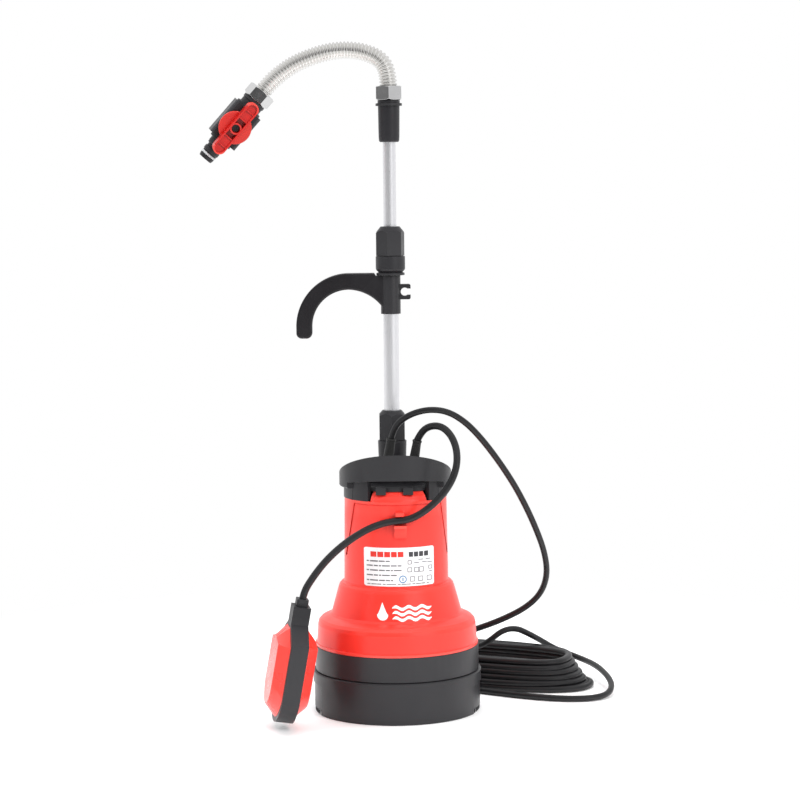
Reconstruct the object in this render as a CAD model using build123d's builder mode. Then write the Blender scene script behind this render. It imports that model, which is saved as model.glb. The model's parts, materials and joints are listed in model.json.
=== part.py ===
from build123d import *
import math
import os

# Rain-barrel pump: a submersible motor pump with a telescopic riser, a hanging hook, a bendable
# metal outlet hose, a shut-off valve and a float switch.
# Millimetres. +Z up, the rating label faces -Y, origin on the floor under the pump's axis.

os.makedirs("parts", exist_ok=True)

# ---- driving dimensions ------------------------------------------------------------------
WALL = 3.0                  # moulded wall of foot, skirt and housing
FIT = 0.05                  # radial running clearance of a shaft or sliding tube
GAP = 0.4                   # radial gap where two bodies must not touch

FOOT_R = 88.5               # strainer foot
FOOT_TOP = 43.0
SKIRT_R = 86.0              # pump-chamber skirt above the foot
SKIRT_TOP = 69.5
FLANGE_TOP_R = 83.0         # red flange wall, slightly tapered
CONE_R = (68.4, 60.4)       # red cone, lower and upper radius
CONE_Z = (105.0, 132.5)
BARREL_R = (54.8, 53.5)     # red barrel, lower and upper radius
BARREL_Z = (137.0, 226.0)
TONGUE_TOP = 238.0          # top of the scooped finger recess at the front
DECK_Z = (236.0, 241.0)     # lid deck
FRONT_TURN = 4.0            # the label, grip and clip face this many degrees to the right of -Y

SHAFT_R = 4.0
IMPELLER_R = 42.0
CHAMBER_R = 60.0
CHAMBER_Z = (47.0, 79.0)
CAN_R = 46.0                # motor can
CAN_Z = (79.0, 226.0)
CORE_Z = (105.0, 165.0)

PIPE_X, PIPE_Y = -2.8, 17.0     # axis of the riser
LOWER_TUBE_R = 8.0
LOWER_TUBE_BORE = 7.0
LOWER_TUBE_Z = (262.0, 474.0)
UPPER_TUBE_R = 6.65
UPPER_TUBE_WALL = 0.9
UPPER_TUBE_Z = (362.0, 618.0)
OUTLET_TOP = 282.6
LOWER_NUT_Z = (283.0, 314.4)
HOOK_Z = (416.2, 456.3)
COLLAR_Z = (456.7, 476.6)       # coupling that clamps the two tubes
UPPER_NUT_Z = (477.0, 507.5)
ADAPTER_Z = (595.3, 632.6)
UNION_Z = (638.8, 653.3)
UNION_AF = 26.3                 # half-inch union nuts
HOSE_R = 9.25

NUT_CENTRE = (-137.6, PIPE_Y, 644.6)    # union nut on the valve
FLOW_ANGLE = 48.3                       # degrees below the horizontal, towards -X
VALVE_ROLL = -12.0                      # degrees about the flow, the lever's side leans down
BALL_AT = 41.0                          # ball centre, along the flow from the nut's centre
LEVER_L = 65.0
LEVER_W = 13.5
LEVER_RIM = 1.8
LEVER_Z = 16.0              # underside of the lever, from the flow axis

CLIP_Z = 207.2                  # float cord held on the barrel's front
FLOAT_PIVOT = (-6.0, -59.0, 206.9)
FLOAT_CORD_D = 7.4
MAINS_CORD_D = 6.6

# ---- planes ------------------------------------------------------------------------------
flow = Vector(-math.cos(math.radians(FLOW_ANGLE)), 0, -math.sin(math.radians(FLOW_ANGLE)))
AXIS = Plane.XY
RISER = Plane(origin=(PIPE_X, PIPE_Y, 0))
FRONT = Plane.XZ.rotated((0, 0, FRONT_TURN))
stem_side = Vector(0, -1, 0).rotate(Axis((0, 0, 0), flow), VALVE_ROLL)
FLOW = Plane(origin=NUT_CENTRE, x_dir=(0, -1, 0), z_dir=flow)
VALVE = Plane(origin=NUT_CENTRE, x_dir=stem_side, z_dir=flow)
LEVER = Plane(origin=Vector(*NUT_CENTRE) + flow * BALL_AT, x_dir=flow, z_dir=stem_side)


# ---- helpers -----------------------------------------------------------------------------
def write(piece, label):
    piece.part.label = label
    export_step(piece.part, f"parts/{label}.step")


def section_plane(plane):
    """The plane that holds plane's local X and Z, so that a profile reads (radius, height)."""
    return Plane(origin=plane.origin, x_dir=plane.x_dir, z_dir=-plane.y_dir)


def turned(points, plane=AXIS, arc=360.0, start=0.0):
    """A closed (radius, height) outline turned about the plane's normal."""
    base = section_plane(plane.rotated((0, 0, start)))
    with BuildPart() as piece:
        with BuildSketch(base):
            with BuildLine():
                Polyline(*points, close=True)
            make_face()
        revolve(axis=Axis(plane.origin, plane.z_dir), revolution_arc=arc)
    return piece


def ring(inner, outer, low, high, plane=AXIS):
    return turned([(inner, low), (outer, low), (outer, high), (inner, high)], plane)


def hex_nut(across_flats, low, high, bore, plane, turn=0.0, top_chamfer=2.0, end_r=None):
    """A hexagon with a turned chamfer at its outer end and a plain bore."""
    corner = across_flats / math.sqrt(3)
    crown = end_r or across_flats / 2 - 0.8
    with BuildPart() as nut:
        with BuildSketch(plane.offset(low)):
            RegularPolygon(radius=corner, side_count=6, rotation=turn)
        extrude(amount=high - low)
        cap = [(0, low), (corner + 1, low), (corner + 1, high - top_chamfer), (crown, high), (0, high)]
        add(turned(cap, plane).part, mode=Mode.INTERSECT)
        with BuildSketch(plane.offset(low)):
            Circle(bore)
        extrude(amount=high - low, mode=Mode.SUBTRACT)
    return nut


def corner_radii(points):
    """Each corner's arc takes 0.45 of the shorter run beside it."""
    radii = []
    for before, corner, after in zip(points, points[1:], points[2:]):
        run_in = Vector(*corner) - Vector(*before)
        run_out = Vector(*after) - Vector(*corner)
        half_turn = math.radians(run_in.get_angle(run_out)) / 2
        radii.append(0.45 * min(run_in.length, run_out.length) / math.tan(half_turn))
    return radii


def tube(points, diameter, bore=0.0):
    """A round tube along straight runs joined by tangent arcs."""
    radii = corner_radii(points)
    with BuildPart() as piece:
        with BuildLine():
            route = FilletPolyline(*points, radius=radii)
        with BuildSketch(Plane(origin=route @ 0, z_dir=route % 0)):
            Circle(diameter / 2)
            if bore:
                Circle(bore / 2, mode=Mode.SUBTRACT)
        sweep(path=route)
    length = route.length
    section = math.pi * (diameter**2 - bore**2) / 4
    print(f"tube {diameter} mm: length {length:.0f}, volume over section x length",
          f"{piece.part.volume / (section * length):.4f}, corner radii", [round(radius) for radius in radii])
    return piece


# ---- foot and pump chamber ---------------------------------------------------------------
def make_foot():
    """Cup with a spoked bottom, and a barred intake window under a shallow panel at both sides."""
    inner = FOOT_R - WALL
    window, arc, recess = 5.0, 52, 1.2
    with BuildPart() as foot:
        with BuildSketch():
            Circle(24)
            with PolarLocations(54, 6, start_angle=30):
                Rectangle(65, 7)
        extrude(amount=WALL)
        add(turned([(inner, 0), (FOOT_R - 0.8, 0), (FOOT_R, 0.8), (FOOT_R, FOOT_TOP - 1.0),
                    (FOOT_R - 1.0, FOOT_TOP), (FOOT_R - 9, FOOT_TOP), (FOOT_R - 9, FOOT_TOP - 4),
                    (inner, FOOT_TOP - 4)]).part)
        for side in (0, 180):
            start = side - arc / 2
            panel = [(FOOT_R - recess, -1), (FOOT_R + 1, -1), (FOOT_R + 1, FOOT_TOP - 12),
                     (FOOT_R - recess, FOOT_TOP - 12)]
            add(turned(panel, AXIS, arc, start).part, mode=Mode.SUBTRACT)
            opening = [(inner - 1, -1), (FOOT_R + 1, -1), (FOOT_R + 1, window), (inner - 1, window)]
            add(turned(opening, AXIS, arc - 4, start + 2).part, mode=Mode.SUBTRACT)
            with BuildSketch():
                with PolarLocations(inner + 0.9, 11, start_angle=start + 5, angular_range=arc - 10):
                    Rectangle(1.0, 1.4)
            extrude(amount=window + 1)
    return foot


def make_skirt():
    """Upper black band with the inward deck that the foot and the chamber bolt to."""
    with BuildPart() as skirt:
        add(turned([(62.5, 43.2), (FOOT_R - 3.2, 43.2), (SKIRT_R, 44.0), (SKIRT_R, SKIRT_TOP),
                    (SKIRT_R - WALL, SKIRT_TOP), (SKIRT_R - WALL, 47.2), (62.5, 47.2)]).part)
        with PolarLocations(74, 4, start_angle=45):
            Hole(2.2)
    return skirt


def make_impeller():
    """Open impeller: hub, back shroud and six swept-back vanes."""
    with BuildPart() as impeller:
        add(turned([(SHAFT_R, 53), (9, 53), (12, 63), (IMPELLER_R, 63), (IMPELLER_R, 66),
                    (SHAFT_R, 66)]).part)
        for blade in range(6):
            with BuildSketch(Plane.XY.offset(53).rotated((0, 0, 60 * blade))):
                with BuildLine():
                    RadiusArc((11, 0), (26, 32), -34)
                    Line((26, 32), (24.4, 33.2))
                    RadiusArc((24.4, 33.2), (8.6, 1.2), 36)
                    Line((8.6, 1.2), (11, 0))
                make_face()
            extrude(amount=10.5)
    return impeller


def make_volute():
    """Chamber casing over the impeller, with a ring of ports into the cooling jacket."""
    low, high = CHAMBER_Z
    with BuildPart() as volute:
        add(turned([(CHAMBER_R - WALL, low), (CHAMBER_R, low), (CHAMBER_R, high - 0.2),
                    (9.2, high - 0.2), (9.2, high - 4), (CHAMBER_R - WALL, high - 4)]).part)
        with BuildSketch(Plane.XY.offset(high - 5)):
            with PolarLocations(51.5, 6):
                SlotOverall(14, 6, rotation=90)
        extrude(amount=6, mode=Mode.SUBTRACT)
    return volute


base_strainer = make_foot()
base_ring = make_skirt()
suction_cover = turned([(13, 33), (16, 33), (16, 43), (61.5, 43), (61.5, 46.8), (13, 46.8)])
volute_casing = make_volute()
impeller = make_impeller()
impeller_nut = hex_nut(12, 47.2, 52.8, SHAFT_R, AXIS, end_r=6.2)
chamber_gasket = ring(63.0, 66.5, 47.4, 49.4)

with BuildPart() as base_screws:
    with PolarLocations(74, 4, start_angle=45):
        add(turned([(0, 36.5), (3.6, 36.5), (3.6, 43.0), (2.0, 43.0), (2.0, 58), (0, 58)]).part)

# ---- motor -------------------------------------------------------------------------------
motor_shaft = turned([(0, 46.0), (SHAFT_R - 0.4, 46.0), (SHAFT_R, 46.4), (SHAFT_R, 189.6),
                      (SHAFT_R - 0.4, 190.0), (0, 190.0)])
shaft_seal = ring(SHAFT_R + FIT, 9.0, 75.0, 83.5)
lower_bearing = ring(SHAFT_R + FIT, 11.0, 84.0, 91.0)
upper_bearing = ring(SHAFT_R + FIT, 11.0, 182.0, 189.0)
motor_can = turned([(9.2, CAN_Z[0]), (CAN_R, CAN_Z[0]), (CAN_R, CAN_Z[1]), (CAN_R - 1, CAN_Z[1]),
                    (CAN_R - 1, 84), (15, 84), (15, 91.2), (11.0, 91.2), (11.0, 83.8), (9.2, 83.8)])
bearing_plate = turned([(11.0, 182), (CAN_R - 1.1, 182), (CAN_R - 1.1, 186), (15, 186), (15, 189.5),
                        (11.0, 189.5)])
can_cap = turned([(0, 226.2), (CAN_R, 226.2), (CAN_R, 229.2), (0, 229.2)])

with BuildPart() as stator_core:
    add(ring(26.5, CAN_R - 1.1, *CORE_Z).part)
    with BuildSketch(Plane.XY.offset(CORE_Z[0])):
        with PolarLocations(33, 12):
            SlotOverall(11, 5)
    extrude(amount=CORE_Z[1] - CORE_Z[0], mode=Mode.SUBTRACT)

with BuildPart() as stator_windings:
    for low, high in ((94, CORE_Z[0] - 0.2), (CORE_Z[1] + 0.2, 177)):
        add(turned([(28, low + 2), (30, low), (38, low), (40, low + 2), (40, high), (28, high)]).part)

with BuildPart() as rotor_core:
    add(ring(SHAFT_R, 26.0, *CORE_Z).part)
    with BuildSketch(Plane.XY.offset(CORE_Z[0])):
        with PolarLocations(22.5, 18):
            Circle(1.6)
    extrude(amount=CORE_Z[1] - CORE_Z[0], mode=Mode.SUBTRACT)

with BuildPart() as run_capacitor:
    with BuildSketch(Plane.YZ.offset(-26)):
        with Locations((-12, 208)):
            Circle(14)
    extrude(amount=52)
    fillet(run_capacitor.edges().filter_by(GeomType.CIRCLE), 2)


# ---- red housing -------------------------------------------------------------------------
def barrel_radius(z):
    share = (z - BARREL_Z[0]) / (BARREL_Z[1] - BARREL_Z[0])
    return BARREL_R[0] + share * (BARREL_R[1] - BARREL_R[0])


def seam_tool(depth):
    """Thin conical skin of the barrel, used to cut fine seams into its face."""
    low, high = BARREL_Z[0] + 2, BARREL_Z[1]
    return turned([(barrel_radius(low) - depth, low), (barrel_radius(low) + 2, low),
                   (barrel_radius(high) + 2, high), (barrel_radius(high) - depth, high)])


def make_housing():
    outer = [(SKIRT_R - 0.5, SKIRT_TOP + 0.1), (SKIRT_R - 0.3, 72.3), (SKIRT_R - 1.6, 73.0),
             (FLANGE_TOP_R + 0.1, 91.5), (FLANGE_TOP_R - 0.9, 95.2), (FLANGE_TOP_R - 3.6, 98.0),
             (FLANGE_TOP_R - 8.0, 100.0), (CONE_R[0] + 2.0, 101.8), (CONE_R[0], 104.0),
             (CONE_R[1] + 0.4, CONE_Z[1] - 1.5), (CONE_R[1] - 0.8, CONE_Z[1] + 1.4),
             (CONE_R[1] - 3.0, 136.2), (BARREL_R[0] + 0.5, 137.0),
             (BARREL_R[0] - 0.1, 138.2), (BARREL_R[1], BARREL_Z[1])]
    inner = [(BARREL_R[1] - WALL, BARREL_Z[1]), (BARREL_R[0] - WALL, 134.5), (CONE_R[1] - WALL, 131.5),
             (CONE_R[0] - WALL, 103.0), (FLANGE_TOP_R - 9.0, 97.0), (FLANGE_TOP_R - WALL, 93.0),
             (SKIRT_R - WALL - 0.6, SKIRT_TOP + 0.1)]
    with BuildPart() as housing:
        add(turned(outer + inner).part)
        # scooped tongue behind the finger gap
        tongue = [(53.4, 225.9), (52.6, 228.0), (50.6, 231.5), (47.6, 234.8), (44.4, TONGUE_TOP - 0.6),
                  (43.0, TONGUE_TOP), (42.2, TONGUE_TOP - 1.6), (45.4, 233.0), (48.4, 229.4), (50.5, 225.9)]
        add(turned(tongue, AXIS, 66, FRONT_TURN - 123).part)
        # tab above and bracket below the float cord
        face = -barrel_radius(CLIP_Z)
        with Locations((4.2, face - 4.0, 214.2)):
            Box(8.6, 9.6, 3.8)
        with Locations((4.8, face - 0.8, 195.4)):
            Box(12.8, 4.8, 13.0)
        with Locations((4.8, face - 4.0, 201.2)):
            Box(12.8, 9.6, 2.8)
        # seam lines of the front panel
        with BuildSketch(FRONT, mode=Mode.PRIVATE) as seams:
            for hand in (-1, 1):
                with BuildLine():
                    Polyline((hand * 44.0, 223), (hand * 45.1, 223), (hand * 53.4, 166), (hand * 52.3, 166),
                             close=True)
                make_face()
            with Locations((0, 222.7)):
                Rectangle(89, 1.0)
        seam_cut = extrude(seams.sketch, amount=70, mode=Mode.PRIVATE) & seam_tool(0.9).part
        add(seam_cut, mode=Mode.SUBTRACT)
    return housing


outer_housing = make_housing()


def make_label():
    """Thin rectangular plate wrapped on the barrel, with rounded corners."""
    low, high, half_width = 138.0, 178.8, 36.2
    with BuildPart() as label:
        add(turned([(barrel_radius(low), low + 0.6), (barrel_radius(low) + 0.3, low + 0.6),
                    (barrel_radius(high) + 0.3, high), (barrel_radius(high), high)],
                   AXIS, 100, FRONT_TURN - 140).part)
        with BuildSketch(FRONT.offset(20)):
            with Locations((0, (low + high) / 2 + 0.3)):
                RectangleRounded(2 * half_width, high - low - 0.6, 2.2)
        extrude(amount=60, mode=Mode.INTERSECT)
    return label


rating_label = make_label()


# ---- glands and outlet ------------------------------------------------------------
MAINS_EXIT = ((-9.8, -9.0, 250.0), (-3.8, -12.5, 287.5))    # gland foot and gland mouth
FLOAT_EXIT = ((17.2, -7.5, 250.0), (23.4, -11.5, 285.5))


def make_gland(foot, mouth, foot_r, mouth_r):
    """Tapered sleeve that grips a cord, with a flared ring at its mouth."""
    axis_line = Vector(*mouth) - Vector(*foot)
    plane = Plane(origin=foot, z_dir=axis_line)
    length = axis_line.length
    return turned([(0, 0), (foot_r + 0.6, 0), (foot_r + 0.6, 8), (foot_r, 9), (mouth_r - 0.5, length - 2.6),
                   (mouth_r, length - 2.0), (mouth_r, length - 0.4), (mouth_r - 0.4, length), (0, length)],
                  plane)


mains_gland = make_gland(*MAINS_EXIT, 6.0, 5.2)
float_gland = make_gland(*FLOAT_EXIT, 5.6, 4.9)

with BuildPart() as outlet_fitting:
    add(turned([(LOWER_TUBE_R, 252), (16.5, 252), (15.6, 256), (14.4, 258), (15.1, OUTLET_TOP - 0.6),
                (14.6, OUTLET_TOP), (12.4, OUTLET_TOP), (12.4, 296), (11.6, 297.5), (LOWER_TUBE_R, 297.5)],
               RISER).part)

# ---- lid and handle ----------------------------------------------------------------------
VISOR_R = 58.8
VISOR_WALL = 5.5


def make_lid():
    """Deck that closes the barrel, with a raised turret for the riser and the two glands."""
    with BuildPart() as lid:
        add(turned([(0, 229.6), (41.0, 229.6), (41.0, DECK_Z[0]), (47.5, DECK_Z[0]), (47.5, DECK_Z[1] - 2),
                    (45.5, DECK_Z[1]), (0, DECK_Z[1])]).part)
        with BuildSketch(Plane.XY.offset(DECK_Z[1])):
            with Locations((0, 10)):
                SlotOverall(78, 60)
        extrude(amount=14, taper=9)
        # two hooks that hang over the scooped tongue
        for x in (-15.0, 13.0):
            with Locations((x, -46.5, 237.0)):
                Box(10.4, 9.0, 7.6)
        keep_out = [(54.2, 225), (54.2, 226.5), (53.2, 228.2), (51.1, 232.0), (48.1, 235.3),
                    (44.7, TONGUE_TOP + 0.3), (41.2, TONGUE_TOP + 0.3), (41.2, 225)]
        add(turned(keep_out, AXIS, 70, FRONT_TURN - 125).part, mode=Mode.SUBTRACT)
        for fitting in (mains_gland, float_gland, outlet_fitting):
            add(fitting.part, mode=Mode.SUBTRACT)
    return lid


def make_handle():
    """Skirt with two legs and a visor-like front grip, cut to sloping planes above and below."""
    with BuildPart() as handle:
        # skirt round the barrel's top: sides and back, and the visor all round the front
        add(turned([(47.7, BARREL_Z[1] + 0.1), (54.2, BARREL_Z[1] + 0.1), (54.2, 241.0),
                    (47.7, 241.0)], AXIS, 282, FRONT_TURN - 51).part)
        add(turned([(VISOR_R - VISOR_WALL, 238.0), (VISOR_R - 0.8, 238.0), (VISOR_R, 239.0),
                    (VISOR_R, 276.0), (VISOR_R - VISOR_WALL, 276.0)]).part)
        # lower edge rises towards the front
        with BuildSketch(Plane.YZ.offset(-80)):
            with BuildLine():
                Polyline((-80, 225), (-80, 251.6), (-48.5, 247.0), (-30.6, 244.0), (-30.6, 225), close=True)
            make_face()
        extrude(amount=160, mode=Mode.SUBTRACT)
        # upper edge slopes down to the back
        with BuildSketch(Plane.YZ.offset(-80)):
            with BuildLine():
                Polyline((-80, 284.2), (10, 246.5), (80, 245.0), (80, 300), (-80, 300), close=True)
            make_face()
        extrude(amount=160, mode=Mode.SUBTRACT)
        # front legs, from the barrel up to the visor
        for start in (-160, -54):
            add(turned([(48.2, BARREL_Z[1] + 0.1), (53.9, BARREL_Z[1] + 0.1), (53.9, 247.5),
                        (48.2, 247.5)], AXIS, 34, FRONT_TURN + start).part)
    return handle


top_lid = make_lid()
carry_handle = make_handle()

# ---- riser -------------------------------------------------------------------------------
with BuildPart() as lower_lock_nut:
    add(hex_nut(26.6, *LOWER_NUT_Z, LOWER_TUBE_R + GAP, RISER, 90, 7, 10.2).part)
    add(ring(0, 12.8, LOWER_NUT_Z[0] - 1, 299, RISER).part, mode=Mode.SUBTRACT)
lower_seal = ring(LOWER_TUBE_R, 11.0, 297.6, 298.8, RISER)
lower_tube = ring(LOWER_TUBE_BORE, LOWER_TUBE_R, *LOWER_TUBE_Z, RISER)


def make_collar():
    """Coupling clamped on the lower tube: thin flange, smooth ring, and a spigot for the lock nut."""
    low, high = COLLAR_Z
    with BuildPart() as collar:
        add(turned([(LOWER_TUBE_R, low), (14.8, low), (14.8, low + 2.2), (12.6, low + 3.0),
                    (14.6, low + 5.0), (15.4, low + 6.5), (15.4, high - 0.6), (14.8, high),
                    (12.0, high), (12.0, high + 14), (11.4, high + 14.6), (LOWER_TUBE_R, high + 14.6)],
                   RISER).part)
    return collar


tube_collar = make_collar()
with BuildPart() as upper_lock_nut:
    add(hex_nut(26.8, *UPPER_NUT_Z, UPPER_TUBE_R + GAP, RISER, 17, 8, 10.0).part)
    add(ring(0, 12.4, UPPER_NUT_Z[0] - 1, 492.2, RISER).part, mode=Mode.SUBTRACT)
    with BuildSketch(RISER.offset(492)):
        Circle(9.2)
    extrude(amount=8, mode=Mode.SUBTRACT)
clamp_ring = ring(UPPER_TUBE_R + FIT, 8.8, 491.6, 499.0, RISER)
guide_bush = ring(UPPER_TUBE_R + FIT, LOWER_TUBE_R - 0.1, LOWER_TUBE_Z[1] + 0.2, 491.4, RISER)

upper_tube = ring(UPPER_TUBE_R - UPPER_TUBE_WALL, UPPER_TUBE_R, *UPPER_TUBE_Z, RISER)
tube_stop = ring(UPPER_TUBE_R, LOWER_TUBE_BORE - FIT, UPPER_TUBE_Z[0] + 1, UPPER_TUBE_Z[0] + 9, RISER)


# ---- hanging hook ------------------------------------------------------------------------
def make_hook():
    """Sleeve on the lower tube with a curved arm to the left and a cord clip to the right."""
    low, high = HOOK_Z
    half_depth, step = 7.0, 2.8
    front = Plane(origin=(PIPE_X, PIPE_Y, 0), x_dir=(1, 0, 0), z_dir=(0, -1, 0))
    with BuildPart() as hook:
        with BuildSketch(front.offset(-half_depth)):
            with BuildLine():
                Polyline((0, high), (-15.4, high), (-17.2, high + step), (-46, high + step))
                RadiusArc((-46, high + step), (-99.4, 401), -56)
                Line((-99.4, 401), (-99.4, 396))
                RadiusArc((-99.4, 396), (-93.5, 391), -6.0)
                Line((-93.5, 391), (-88.5, 391))
                RadiusArc((-88.5, 391), (-82.6, 397.5), -6.2)
                Line((-82.6, 397.5), (-82.6, 403))
                RadiusArc((-82.6, 403), (-44, 441.9), 38.8)
                RadiusArc((-44, 441.9), (-9.4, 424.0), 46)
                Line((-9.4, 424.0), (0, 416.2))
                Line((0, 416.2), (0, high))
            make_face()
        extrude(amount=2 * half_depth)
        fillet(hook.edges().filter_by(GeomType.CIRCLE).filter_by(lambda edge: edge.length > 40), 2.0)
        add(ring(0, 10.4, low, high, RISER).part)
        # open-ended cord clip
        with BuildSketch(front.offset(-4.0)):
            with Locations((13.6, 439.2)):
                RectangleRounded(14.6, 16.0, 2.0)
            with Locations((14.8, 439.2)):
                Circle(4.3, mode=Mode.SUBTRACT)
            with Locations((20.0, 439.2)):
                Rectangle(9.0, 6.6, mode=Mode.SUBTRACT)
        extrude(amount=8.0)
        add(ring(0, LOWER_TUBE_R + FIT, low - 5, high + 5, RISER).part, mode=Mode.SUBTRACT)
    return hook


hanging_hook = make_hook()


# ---- adapter, union nuts and hose --------------------------------------------------------
def make_adapter():
    """Tapered sleeve pressed on the upper tube, with a flange and a threaded spigot."""
    low, high = ADAPTER_Z
    with BuildPart() as adapter:
        add(turned([(UPPER_TUBE_R, low), (9.6, low), (10.6, low + 1.4), (10.9, low + 6), (11.3, high),
                    (13.8, high + 0.2), (13.8, high + 2.6), (11.6, high + 3.2), (11.6, UNION_Z[0] - 0.3),
                    (9.9, UNION_Z[0] - 0.3), (9.9, 647.4), (6.2, 647.4), (6.2, 619), (UPPER_TUBE_R, 618.4)],
                   RISER).part)
    return adapter


hose_adapter = make_adapter()


def make_union(plane, low, high, turn):
    """Chrome union nut: hexagon chamfered at both ends, threaded bore, hole for the hose."""
    corner = UNION_AF / math.sqrt(3)
    with BuildPart() as nut:
        with BuildSketch(plane.offset(low)):
            RegularPolygon(radius=corner, side_count=6, rotation=turn)
        extrude(amount=high - low)
        add(turned([(0, low), (UNION_AF / 2 - 0.2, low), (corner, low + 1.2), (corner, high - 1.2),
                    (UNION_AF / 2 - 0.2, high), (0, high)], plane).part, mode=Mode.INTERSECT)
        add(ring(0, HOSE_R + 0.35, low - 1, high + 1, plane).part, mode=Mode.SUBTRACT)
    return nut


hose_nut_top = make_union(RISER, *UNION_Z, 90)
hose_nut_end = make_union(FLOW, -6.4, 6.2, 30)
for nut, plane, low, high in ((hose_nut_top, RISER, UNION_Z[0] - 1, 649.0), (hose_nut_end, FLOW, -1.5, 8)):
    with nut:
        add(ring(0, 10.3, low, high, plane).part, mode=Mode.SUBTRACT)

hose_washer_top = ring(6.2, HOSE_R, 647.6, 649.2, RISER)
hose_washer_end = ring(6.2, HOSE_R, -3.2, -1.6, FLOW)

HOSE_ROUTE = [
    (PIPE_X, PIPE_Y, 649.4), (PIPE_X - 0.3, PIPE_Y, 664.0), (-8.6, PIPE_Y, 679.0), (-23.5, PIPE_Y, 687.6),
    (-42.0, PIPE_Y, 690.9), (-62.0, PIPE_Y, 690.0), (-82.0, PIPE_Y, 684.7), (-101.5, PIPE_Y, 676.6),
    (-119.0, PIPE_Y, 664.4), tuple(Vector(*NUT_CENTRE) - flow * 14.0), tuple(Vector(*NUT_CENTRE) - flow * 3.4),
]
flex_hose = tube(HOSE_ROUTE, 2 * HOSE_R, 12.4)


# ---- shut-off valve ----------------------------------------------------------------------
def make_valve_body():
    """Black body: threaded inlet, collars, square block round the ball, outlet neck."""
    with BuildPart() as body:
        add(turned([(0, -1.4), (9.9, -1.4), (9.9, 6.6), (12.8, 6.6), (12.8, 9.6), (12.0, 10.4),
                    (12.0, 15), (14.6, 16), (14.6, 19), (0, 19)], FLOW).part)
        with BuildSketch(VALVE.offset(18)):
            RectangleRounded(25, 33, 4)
        extrude(amount=42)
        add(turned([(0, 59), (12.6, 59), (12.6, 62.6), (10.0, 63.6), (10.0, 68), (0, 68)], FLOW).part)
        # boss under the lever
        with BuildSketch(LEVER.offset(12)):
            Circle(10.5)
        extrude(amount=2.4)
        # waterway, ball chamber and stem bore
        add(ring(0, 6.2, -5, 80, FLOW).part, mode=Mode.SUBTRACT)
        add(ring(0, 9.6, BALL_AT - 14, BALL_AT + 14, FLOW).part, mode=Mode.SUBTRACT)
        with Locations(LEVER):
            Sphere(10.2, mode=Mode.SUBTRACT)
        with BuildSketch(LEVER):
            Circle(3.5 + FIT)
        extrude(amount=20, mode=Mode.SUBTRACT)
    return body


valve_body = make_valve_body()

with BuildPart() as valve_ball:
    with Locations(LEVER):
        Sphere(9.4)
    add(ring(0, 6.2, BALL_AT - 14, BALL_AT + 14, FLOW).part, mode=Mode.SUBTRACT)
with BuildPart() as valve_stem:
    with BuildSketch(LEVER.offset(9.5)):
        Circle(3.5)
    extrude(amount=LEVER_Z + 3.4 - 9.5)
    with BuildSketch(LEVER.offset(7.2)):
        Rectangle(6, 2.6)
    extrude(amount=2.4)
with valve_ball:
    with BuildSketch(LEVER.offset(7.0)):
        Rectangle(20, 2.8)
    extrude(amount=5, mode=Mode.SUBTRACT)

with BuildPart() as valve_seats:
    for low, high in ((BALL_AT - 13.9, BALL_AT - 7.6), (BALL_AT + 7.6, BALL_AT + 13.9)):
        add(ring(6.3, 9.5, low, high, FLOW).part)
    with Locations(LEVER):
        Sphere(9.4 + FIT, mode=Mode.SUBTRACT)


def make_lever():
    """Disc on the stem with a hollow bar across it; open when the bar lies along the flow."""
    with BuildPart() as lever:
        with BuildSketch(LEVER.offset(LEVER_Z)):
            Circle(17.2)
        extrude(amount=3.4)
        chamfer(lever.edges().filter_by(GeomType.CIRCLE), 0.6)
        with BuildSketch(LEVER.offset(LEVER_Z)):
            SlotOverall(LEVER_L, LEVER_W)
        extrude(amount=13)
        # shallow end pockets, deeper ones beside the screw boss
        with BuildSketch(LEVER.offset(LEVER_Z + 10.4)):
            SlotOverall(LEVER_L - 2 * LEVER_RIM, LEVER_W - 2 * LEVER_RIM)
        extrude(amount=4, mode=Mode.SUBTRACT)
        with BuildSketch(LEVER.offset(LEVER_Z + 4)):
            Rectangle(23, LEVER_W - 2 * LEVER_RIM)
        extrude(amount=12, mode=Mode.SUBTRACT)
        with BuildSketch(LEVER.offset(LEVER_Z + 3.5)):
            Circle(6.0)
            for x in (-22.0, -11.5, 11.5, 22.0):
                with Locations((x, 0)):
                    Rectangle(1.2, LEVER_W - 2)
        extrude(amount=8.6)
        for low, radius, depth in ((-1, 3.5 + 0.02, 4.5), (-1, 1.7, 10), (5.2, 4.5, 10)):
            with BuildSketch(LEVER.offset(LEVER_Z + low)):
                Circle(radius)
            extrude(amount=depth, mode=Mode.SUBTRACT)
    return lever


valve_lever = make_lever()
with BuildPart() as lever_screw:
    with BuildSketch(LEVER.offset(LEVER_Z + 3.6)):
        Circle(1.6)
    extrude(amount=1.7)
    with BuildSketch(LEVER.offset(LEVER_Z + 5.3)):
        Circle(3.4)
    extrude(amount=1.8)
    with BuildSketch(LEVER.offset(LEVER_Z + 6.4)):
        Rectangle(4.6, 1.0)
        Rectangle(1.0, 4.6)
    extrude(amount=2, mode=Mode.SUBTRACT)

quick_nipple = turned([(5.5, 68.2), (9.6, 68.2), (9.6, 70), (8.0, 70.6), (8.0, 73.0), (9.0, 73.8),
                       (9.0, 77.4), (8.2, 78.2), (8.2, 79.4), (7.0, 79.4), (7.0, 82.0), (8.2, 82.0),
                       (8.2, 83.8), (7.4, 86.4), (5.5, 86.4)], FLOW)
nipple_oring = turned([(7.05, 79.6), (8.3, 79.6), (8.65, 80.1), (8.65, 81.3), (8.3, 81.8), (7.05, 81.8)], FLOW)

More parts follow.
